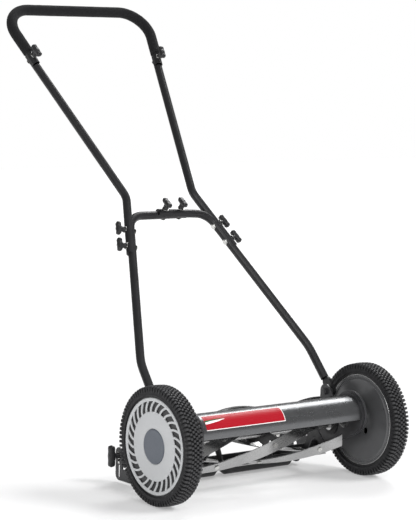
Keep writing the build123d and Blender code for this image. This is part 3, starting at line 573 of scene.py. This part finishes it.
RIB_SHARE = 0.3
VENT_STEPS = 10
VENT_INNER = 73.0
VENT_OUTER = 94.5
VENT_SWEEP = math.radians(9.5)
VENT_CURVE = 1.4
VENT_SWELL = 0.5
HUBCAP_SHEET = 2.6 * MM
VENT_BACKING = ((295.6, 69.0), (296.6, 69.0), (296.6, 98.5), (295.6, 98.5))
HUB_FACE = ((36.9, 299.4), (38.0, 300.6), (40.0, 301.0), (56.0, 301.15), (69.0, 300.8), (VENT_INNER, 300.2))
HUB_RIM = ((VENT_OUTER, 300.2), (96.2, 300.6), (97.4, 301.6), (99.6, 301.8), (101.4, 301.2), (102.3, 299.6))
VENT_ROWS = 5


def hub_height(radius):
    """Distance of the hubcap's face from the mower's middle at a radius, in the ring of vents."""
    reach = (radius - VENT_INNER) / (VENT_OUTER - VENT_INNER)
    return HUB_FACE[-1][1] + VENT_SWELL * math.sin(math.pi * reach)


def hubcap(side, s):
    """Round cap with a ring of slanted, curved vents between thin ribs."""
    rows = [(radius, x, 0.0) for radius, x in HUB_FACE]
    for row in range(1, VENT_ROWS):
        reach = row / VENT_ROWS
        radius = VENT_INNER + (VENT_OUTER - VENT_INNER) * reach
        rows.append((radius, hub_height(radius), reach))
    rows += [(radius, x, 1.0) for radius, x in HUB_RIM]
    steps = VENTS * VENT_STEPS
    vertices = []
    for radius, x, reach in rows:
        turn = -s * VENT_SWEEP * reach**VENT_CURVE
        for step in range(steps):
            angle = 2 * math.pi * step / steps + turn
            y = AXLE.y + radius * MM * math.cos(angle)
            vertices.append(Vector((s * x * MM, y, AXLE.z + radius * MM * math.sin(angle))))
    faces = []
    first_open = len(HUB_FACE) - 1
    last_open = first_open + VENT_ROWS
    for row in range(len(rows) - 1):
        for step in range(steps):
            is_vent_row = first_open <= row < last_open
            if is_vent_row and (step % VENT_STEPS) >= RIB_SHARE * VENT_STEPS:
                continue
            beside = (step + 1) % steps
            low = row * steps
            high = low + steps
            faces.append((low + step, low + beside, high + beside, high + step))
    cap = piece(side + "_hubcap_shell", vertices, faces)
    thickness = cap.modifiers.new("thickness", "SOLIDIFY")
    thickness.thickness = HUBCAP_SHEET
    thickness.offset = -1
    thickness.use_even_offset = False
    applied(cap)
    bevelled(cap, 0.35 * MM, 2, 50, 50)
    finished(cap, MATERIALS["hubcap_plastic"], side + "_wheel", "hubcap_plastic", side + "_hubcap")


def vent_backing(side, s):
    """Recessed ring seen through the hubcap's vents."""
    ring_piece = lathe(side + "_vent_backing", [(s * x, radius) for x, radius in VENT_BACKING])
    finished(ring_piece, VENT_SHADE, side + "_wheel", "wheel_plastic")


CENTRE_CAP = (
    (299.0, 0.5), (301.9, 0.5), (301.85, 10.0), (301.6, 22.0), (301.2, 30.5), (301.5, 32.0), (301.5, 34.4),
    (301.1, 35.8), (300.2, 36.6), (299.0, 36.6),
)


def centre_cap(side, s):
    """Slightly domed cap with a raised edge."""
    cap = lathe(side + "_hub_centre", [(s * x, radius) for x, radius in CENTRE_CAP], sharp=50)
    finished(cap, MATERIALS["cap_plastic"], side + "_wheel", "cap_plastic", side + "_centre_cap")


COVER = (
    (268.2, 12.0), (268.2, 19.0), (264.4, 30.0), (264.2, 44.0), (266.0, 66.0), (267.2, 84.0), (267.3, 90.5),
    (268.9, 92.6), (269.2, 94.6), (267.4, 96.6), (267.2, 98.6), (267.8, 100.6), (268.6, 101.4),
    (269.6, 100.8), (269.4, 98.6), (269.6, 96.8), (270.6, 94.8), (270.4, 92.0), (269.0, 89.0),
    (268.8, 84.0), (267.6, 66.0), (265.8, 44.0), (266.0, 30.0), (269.8, 18.0), (269.8, 12.0),
)
COVER_HOLE = (-23.3, 106.2, 7.5)
SHAFT_HOLE_R = 8.5
CUTTER_REACH = 400
ROLL_X = 267.5
ROLL_MIDDLE_R = 101.0
ROLL_R = 1.3
ROLL_STEPS = 12


def cut_hole(obj, y, z, radius):
    """Cut a round hole right through a sheet across the axle."""
    place = Matrix.Translation(side_point(0, y, z)) @ Matrix.Rotation(math.pi / 2, 4, "Y")
    vertices, faces = turned_at(place, ((-CUTTER_REACH, radius), (CUTTER_REACH, radius)), 48)
    cutter = piece("cutter", vertices, faces)
    cut = obj.modifiers.new("cut", "BOOLEAN")
    cut.operation = "DIFFERENCE"
    cut.object = cutter
    applied(obj, 35)
    bpy.data.objects.remove(cutter)


def dust_cover(side, s):
    """Pressed, dished cover with a stepped edge, a hole, the shaft's hole and a bright rolled rim."""
    cover = lathe(side + "_cover_dish", [(s * x, radius) for x, radius in COVER], steps=192, sharp=50)
    cut_hole(cover, *COVER_HOLE)
    cut_hole(cover, (REEL.y - AXLE.y) / MM, REEL.z / MM, SHAFT_HOLE_R)
    finished(cover, MATERIALS["cover_paint"], "chassis", "cover_paint", side + "_dust_cover")
    roll = []
    for step in range(ROLL_STEPS):
        angle = 2 * math.pi * step / ROLL_STEPS
        roll.append((s * (ROLL_X + ROLL_R * math.cos(angle)), ROLL_MIDDLE_R + ROLL_R * math.sin(angle)))
    rim = lathe(side + "_cover_rim", roll, steps=192, sharp=180)
    finished(rim, MATERIALS["bright_steel"], "chassis", "bright_steel")


for side, s in SIDES:
    tyre(side, s)
    hubcap(side, s)
    vent_backing(side, s)
    centre_cap(side, s)
    dust_cover(side, s)


# ---------------------------------------------------------------- shroud and its printed band
def shroud_point(x, degrees, radius):
    """Point of the shroud's arc."""
    angle = math.radians(degrees)
    return Vector((x, SHROUD_Y + radius * math.cos(angle), SHROUD_Z + radius * math.sin(angle)))


HEM = ((1.6, 0.9), (1.6, 2.4), (-1.0, 2.9), (-5.0, 1.9))
SHROUD_STEPS = 96
SHROUD_COLUMNS = 25
END_STEPS = 48


def shroud():
    """Rolled sheet with a hemmed front edge and a flat wall at each end."""
    steps = SHROUD_STEPS
    span = SHROUD_FRONT - SHROUD_REAR
    outline = [(SHROUD_REAR + span * i / steps, SHROUD_R) for i in range(steps + 1)]
    outline += [(SHROUD_FRONT + past, SHROUD_R - depth * MM) for past, depth in HEM]
    inner_r = SHROUD_R - SHROUD_SHEET
    outline += [(SHROUD_REAR + span * i / steps, inner_r) for i in range(steps - 5, -1, -1)]
    vertices = []
    columns = SHROUD_COLUMNS
    for column in range(columns):
        x = -SHROUD_HALF_LENGTH + 2 * SHROUD_HALF_LENGTH * column / (columns - 1)
        vertices += [shroud_point(x, degrees, radius) for degrees, radius in outline]
    count = len(outline)
    faces = [tuple(range(count)), tuple(range((columns - 1) * count, columns * count))]
    for column in range(columns - 1):
        for index in range(count):
            after = (index + 1) % count
            low = column * count
            high = low + count
            faces.append((low + index, low + after, high + after, high + index))
    sheet = piece("shroud_sheet", vertices, faces, 35)
    finished(sheet, MATERIALS["shroud_paint"], "chassis", "shroud_paint", "shroud")
    for side, s in SIDES:
        wall = []
        edge = [(SHROUD_REAR + span * i / END_STEPS, inner_r) for i in range(END_STEPS + 1)]
        for x in (SHROUD_HALF_LENGTH, SHROUD_HALF_LENGTH - SHROUD_SHEET):
            wall += [shroud_point(s * x, degrees, radius) for degrees, radius in edge]
        count = len(edge)
        faces = [tuple(range(count)), tuple(range(2 * count - 1, count - 1, -1))]
        faces += [(i, (i + 1) % count, count + (i + 1) % count, count + i) for i in range(count)]
        end = piece(side + "_shroud_end", wall, faces, 30)
        finished(end, MATERIALS["frame_paint"], "chassis", "frame_paint")


FILM_SHEET = 0.05 * MM
OUTLINE_LIFT = 0.10 * MM
FIELD_LIFT = 0.16 * MM
SWOOSH_LIFT = 0.22 * MM
STRIPE_LIFT = 0.28 * MM


def film(name, outline_low, outline_high, lift, material, columns=60, rows=14):
    """Thin printed film on the shroud between two edges, each a function from 0..1 to (x, degrees)."""
    vertices = []
    faces = []
    for thickness in (lift, lift - FILM_SHEET):
        for column in range(columns + 1):
            along = column / columns
            low = outline_low(along)
            high = outline_high(along)
            for row in range(rows + 1):
                t = row / rows
                x = low[0] + (high[0] - low[0]) * t
                degrees = low[1] + (high[1] - low[1]) * t
                vertices.append(shroud_point(x, degrees, SHROUD_R + thickness))
    layer = (columns + 1) * (rows + 1)

    def index(level, column, row):
        return level * layer + column * (rows + 1) + row

    for column in range(columns):
        for row in range(rows):
            quad = [(column, row), (column + 1, row), (column + 1, row + 1), (column, row + 1)]
            for level in (0, 1):
                faces.append(tuple(index(level, *corner) for corner in quad))
    rim = [(column, 0) for column in range(columns)] + [(columns, row) for row in range(rows)]
    rim += [(column, rows) for column in range(columns, 0, -1)] + [(0, row) for row in range(rows, 0, -1)]
    for position, corner in enumerate(rim):
        after = rim[(position + 1) % len(rim)]
        faces.append((index(0, *corner), index(0, *after), index(1, *after), index(1, *corner)))
    sheet = piece(name, vertices, faces, 60)
    finished(sheet, material, "chassis", "shroud_paint")


def straight(x0, degrees0, x1, degrees1):
    """Edge of a film as a straight line over the rolled sheet."""
    return lambda t: (x0 + (x1 - x0) * t, degrees0 + (degrees1 - degrees0) * t)


EDGE_W = 1.5 * MM
EDGE_DEGREES = math.degrees(EDGE_W / SHROUD_R)
SWOOSH_LEFT_X = -204 * MM
SWOOSH_RIGHT_X = -150 * MM
SWOOSH_RISE = 8.0
SWOOSH_TAPER = 0.7


def printed_band():
    """Red band with a white outline and a plain two-colour swoosh."""
    left, right = BAND_LEFT_X, BAND_RIGHT_X
    film("band_outline", straight(left, BAND_TOP, right, BAND_TOP),
         straight(left, BAND_BOTTOM, right, BAND_BOTTOM), OUTLINE_LIFT, BAND_WHITE)
    top = BAND_TOP + EDGE_DEGREES
    bottom = BAND_BOTTOM - EDGE_DEGREES
    film("band_field", straight(left, top, right - EDGE_W, top),
         straight(left, bottom, right - EDGE_W, bottom), FIELD_LIFT, BAND_RED)

    def swoosh(middle, half, curve):
        def edge(way):
            def at(t):
                x = SWOOSH_LEFT_X + (SWOOSH_RIGHT_X - SWOOSH_LEFT_X) * t
                bend = curve * math.sin(math.pi * t)
                return (x, middle - SWOOSH_RISE * t + bend + way * half * (1 - t) ** SWOOSH_TAPER)
            return at
        return edge(-1), edge(1)

    film("band_swoosh_white", *swoosh(139.0, 5.0, 1.5), SWOOSH_LIFT, BAND_WHITE, 40, 4)
    film("band_swoosh_green", *swoosh(134.5, 2.6, 0.5), STRIPE_LIFT, BAND_GREEN, 40, 4)


shroud()
printed_band()


# ---------------------------------------------------------------- handle
LOOP_TOP_UP = 554.8 * MM
FOAM_LOW_UP = 419 * MM
LEG_HALF_GAP = 97.3 * MM
CORNER_STEPS = 18
RUN_STEPS = 12
FOAM_END = ((0.0, 8.0), (0.15, 9.9), (0.6, 11.2), (1.4, 12.2), (2.6, 12.8))


def upper_point(x, up):
    """Point of the loop's plane at a height along the handle, in metres."""
    _, loop_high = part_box("foam_grip")
    down = LOOP_TOP_UP - up
    y = loop_high.y - FOAM_R - down * math.cos(UPPER_TILT)
    return Vector((x, y, loop_high.z - FOAM_R - down * math.sin(UPPER_TILT)))


def upper_half_width(up):
    """Half the distance between the loop's legs."""
    return LEG_HALF_GAP + UPPER_SPREAD * up


def loop_route(low_up):
    """Centre line of the loop: up one leg, round two corners and down the other leg."""
    top_x = upper_half_width(LOOP_TOP_UP)
    lean = math.atan(UPPER_SPREAD)
    turn = math.pi / 2 + lean
    reach = LOOP_R * math.tan(turn / 2)
    right = []
    corner_start_up = LOOP_TOP_UP - reach * math.cos(lean)
    for step in range(RUN_STEPS + 1):
        up = low_up + (corner_start_up - low_up) * step / RUN_STEPS
        right.append((upper_half_width(up), up))
    centre_x = top_x - reach
    centre_up = LOOP_TOP_UP - LOOP_R
    for step in range(1, CORNER_STEPS + 1):
        angle = -lean + turn * step / CORNER_STEPS
        right.append((centre_x + LOOP_R * math.cos(angle), centre_up + LOOP_R * math.sin(angle)))
    for step in range(1, RUN_STEPS):
        right.append((centre_x * (1 - step / RUN_STEPS), LOOP_TOP_UP))
    left = [(-x, up) for x, up in reversed(right)]
    return [upper_point(x, up) for x, up in right + [(0.0, LOOP_TOP_UP)] + left]


def foam_grip():
    """Foam sleeve over the loop, with soft rounded ends and slight swellings."""
    route = loop_route(FOAM_LOW_UP)
    start_way = (route[1] - route[0]).normalized()
    end_way = (route[-2] - route[-1]).normalized()
    points = [route[0] + start_way * depth * MM for depth, _ in FOAM_END]
    radii = [radius * MM for _, radius in FOAM_END]
    rng = random.Random(7)
    for point in route[1:-1]:
        points.append(point)
        radii.append(FOAM_R + rng.uniform(-0.25, 0.05) * MM)
    points += [route[-1] + end_way * depth * MM for depth, _ in reversed(FOAM_END)]
    radii += [radius * MM for _, radius in reversed(FOAM_END)]
    grip = swept("foam_sleeve", points, radii, 36)
    finished(grip, MATERIALS["grip_foam"], "handle", "grip_foam", "foam_grip")


foam_grip()


# ---------------------------------------------------------------- wing knobs
WASHER = ((0.0, 7.6), (0.1, 7.9), (1.0, 7.9), (1.15, 7.6))
NECK_PROFILE = ((1.2, 6.4), (2.0, 6.9), (3.4, 6.8), (4.2, 6.2))
HEIGHT_KNOB_HALF = 22.0
WING_SIZES = {True: (14.4, 8.0), False: (11.5, 6.8)}
WING_STATIONS = 17
WING_STEPS = 20
SQUARENESS = 0.55


def knob_frame(name):
    """Frame at a knob's seat, with Z along its bolt and X along its wings, its height and its half span."""
    joint = name + "_turn"
    origin = joint_point(joint)
    axis = joint_axis(joint)
    heights = []
    far = Vector((0, 0, 0))
    for vertex in NODES[name].data.vertices:
        offset = vertex.co - origin
        height = offset.dot(axis)
        heights.append(height)
        across = offset - axis * height
        if across.length > far.length:
            far = across
    low = min(heights)
    place = axis_frame(origin + axis * low, axis, far)
    return place, (max(heights) - low) / MM, far.length / MM


def squared(value):
    """Sine or cosine pushed out towards a rounded square."""
    return math.copysign(abs(value) ** SQUARENESS, value)


def wing_bar(place, low, high, half_span, half_width):
    """T-bar of a knob: pinched beside the neck, thicker at its ends, rounded all round."""
    vertices = []
    middle = (low + high) / 2
    for station in range(WING_STATIONS):
        t = -1 + 2 * station / (WING_STATIONS - 1)
        end = min(1.0, math.sqrt(max(0.0, 1 - abs(t) ** 7)) + 0.04)
        hub = math.exp(-((t / 0.28) ** 2))
        wide = half_width * (0.80 + 0.20 * hub + 0.20 * abs(t)) * end
        tall = (high - low) / 2 * (0.82 + 0.16 * hub + 0.16 * abs(t)) * end
        lift = 0.9 * abs(t) ** 2 - 0.4
        for step in range(WING_STEPS):
            angle = 2 * math.pi * step / WING_STEPS
            across = wide * squared(math.cos(angle))
            up = middle + lift + tall * squared(math.sin(angle))
            vertices.append(place @ Vector((t * half_span * MM, across * MM, up * MM)))
    return vertices, tube_faces(WING_STATIONS, WING_STEPS)


def wing_knob(name, body):
    """Moulded wing knob on a zinc washer."""
    place, height, half_span = knob_frame(name)
    thickness, half_width = WING_SIZES[half_span > HEIGHT_KNOB_HALF]
    wing_low = height - thickness
    profile = list(NECK_PROFILE)
    profile += [(wing_low - 1.0, 5.8), (wing_low + 3.0, 6.2), (height - 1.6, 6.0), (height - 0.4, 4.6)]
    neck = turned_at(place, profile, 32)
    bar = wing_bar(place, wing_low, height + 0.2, half_span - 0.2, half_width)
    knob = gathered(name + "_moulding", [neck, bar], 60)
    finished(knob, MATERIALS["knob_plastic"], body, "knob_plastic", name)
    disc = gathered(name + "_washer", [turned_at(place, WASHER)], 60)
    finished(disc, MATERIALS["zinc_plate"], body, "zinc_plate")


KNOBS = [name[: -len("_turn")] for name in JOINTS if name.endswith("_turn")]
for name in KNOBS:
    wing_knob(name, name + "_body")


# ---------------------------------------------------------------- fasteners
DOME = ((-1.2, 3.0), (0.0, 3.0), (0.0, 7.0), (0.5, 7.0), (1.5, 6.3), (2.4, 4.6), (2.9, 2.2), (3.0, 0.3))
SHANK_R = 2.9
SHANK_PAST_TUBES = 8.0


def carriage_bolts():
    """Round-headed bolts through the handle's joints, on the far side from each knob."""
    heads = []
    for name in KNOBS:
        if name.endswith("height_knob"):
            continue
        axis = joint_axis(name + "_turn")
        origin = joint_point(name + "_turn")
        reach = TUBE_R if name.endswith("side_knob") else TUBE_R + NEST / 2
        if name.startswith("centre"):
            reach += LEG_SLACK
        place = axis_frame(origin - axis * reach, -axis, Vector((0.3, 1, 0.2)))
        heads.append(turned_at(place, DOME, 36))
        shank_length = 2 * reach + (NEST if name.endswith("side_knob") else 0)
        shank = ((-shank_length / MM - SHANK_PAST_TUBES, SHANK_R), (-1.0, SHANK_R))
        heads.append(turned_at(place, shank, 20))
    bolts = gathered("handle_carriage_bolts", heads, 50)
    finished(bolts, MATERIALS["zinc_plate"], "handle", "zinc_plate", "handle_bolts")


carriage_bolts()


# ---------------------------------------------------------------- floor, lights and camera
FLOOR_HALF = 9.0
GLOW_FROM = 0.9
GLOW_TO = 3.0
NEAR_GLOW = 0.31
FAR_GLOW = 0.52
SURROUND = 0.30
SUN_SPREAD = math.radians(26)
BACK_KEY = 1.3
BACK_KEY_FROM = (0.6, 0.33, 0.73)
FRONT_KEY = 2.6
FRONT_KEY_FROM = (0.50, -0.62, 0.56)
SOFT_TARGET = (0.0, -0.1, 0.35)
SOFTBOXES = (("front_left", (-2.9, -2.2, 1.9), 1.5, 46), ("front_high", (-0.6, -2.9, 3.0), 1.2, 26))
CAMERA_AZIMUTH = math.radians(-37.16)
CAMERA_ELEVATION = math.radians(6.21)
CAMERA_ROLL = math.radians(0.98)
CAMERA_PLACE = Vector((-2.6738, AXLE.y - 3.3065, 0.9611))
CAMERA_LENS = 138.0
CAMERA_SENSOR = 36.0
CAMERA_REACH = 60.0


def floor():
    """Flat pale floor that glows a little, and more with distance, so that shadows on it stay light."""
    turns = ((-1, -1), (1, -1), (1, 1), (-1, 1))
    corners = [Vector((x * FLOOR_HALF, y * FLOOR_HALF, 0.0)) for x, y in turns]
    sheet = piece("floor_sheet", corners, [(0, 1, 2, 3)], 180)
    surface = Surface("floor_paper")
    surface.colour(surface.mixed(surface.noise(3, 3), (0.60, 0.60, 0.605), (0.62, 0.62, 0.62)))
    surface.roughness_from(surface.noise(40, 3), 0.55, 0.65)
    surface.shader.inputs["Emission Color"].default_value = (1.0, 1.0, 1.0, 1)
    far = surface.node("ShaderNodeVectorMath")
    far.operation = "LENGTH"
    surface.link(surface.place, far.inputs[0])
    spread = surface.node("ShaderNodeMapRange")
    spread.inputs["From Min"].default_value = GLOW_FROM
    spread.inputs["From Max"].default_value = GLOW_TO
    spread.inputs["To Min"].default_value = NEAR_GLOW
    spread.inputs["To Max"].default_value = FAR_GLOW
    surface.link(far.outputs["Value"], spread.inputs["Value"])
    surface.link(spread.outputs["Result"], surface.shader.inputs["Emission Strength"])
    sheet.data.materials.append(surface.set(specular=0.1).material)


def softbox(name, place, size, power):
    """Square area light aimed at the mower."""
    data = bpy.data.lights.new(name, "AREA")
    data.shape = "RECTANGLE"
    data.size = size
    data.size_y = size
    data.energy = power
    light = bpy.data.objects.new(name, data)
    light.location = place
    light.rotation_euler = (Vector(SOFT_TARGET) - Vector(place)).to_track_quat("-Z", "Y").to_euler()
    bpy.context.scene.collection.objects.link(light)


def camera():
    """Long lens at the front left, slightly below the grip's height, looking a little down."""
    data = bpy.data.cameras.new("camera")
    data.lens = CAMERA_LENS
    data.sensor_width = CAMERA_SENSOR
    data.sensor_height = CAMERA_SENSOR
    data.clip_end = CAMERA_REACH
    view = bpy.data.objects.new("camera", data)
    turn = Matrix.Rotation(CAMERA_AZIMUTH, 4, "Z")
    tilt = Matrix.Rotation(math.pi / 2 - CAMERA_ELEVATION, 4, "X")
    roll = Matrix.Rotation(CAMERA_ROLL, 4, "Z")
    view.matrix_world = Matrix.Translation(CAMERA_PLACE) @ turn @ tilt @ roll
    bpy.context.scene.collection.objects.link(view)
    bpy.context.scene.camera = view


def broad_sun(name, strength, direction):
    """Distant light with a wide disc, for soft shadows."""
    data = bpy.data.lights.new(name, "SUN")
    data.energy = strength
    data.angle = SUN_SPREAD
    lamp = bpy.data.objects.new(name, data)
    lamp.rotation_euler = Vector(direction).to_track_quat("Z", "Y").to_euler()
    bpy.context.scene.collection.objects.link(lamp)
    return lamp


def studio():
    """Dim surroundings seen as white, two broad distant lights from the right, and softboxes in front."""
    world = bpy.data.worlds.new("studio")
    world.use_nodes = True
    tree = world.node_tree
    backdrop = tree.nodes["Background"]
    backdrop.inputs["Color"].default_value = (1.0, 1.0, 1.0, 1)
    rays = tree.nodes.new("ShaderNodeLightPath")
    strength = tree.nodes.new("ShaderNodeMapRange")
    strength.inputs["To Min"].default_value = SURROUND
    strength.inputs["To Max"].default_value = 1.0
    tree.links.new(rays.outputs["Is Camera Ray"], strength.inputs["Value"])
    tree.links.new(strength.outputs["Result"], backdrop.inputs["Strength"])
    bpy.context.scene.world = world
    broad_sun("back_key", BACK_KEY, BACK_KEY_FROM)
    broad_sun("front_key", FRONT_KEY, FRONT_KEY_FROM).visible_glossy = False
    for name, place, size, power in SOFTBOXES:
        softbox(name, place, size, power)
    bpy.context.scene.view_settings.view_transform = "Standard"


floor()
camera()
studio()
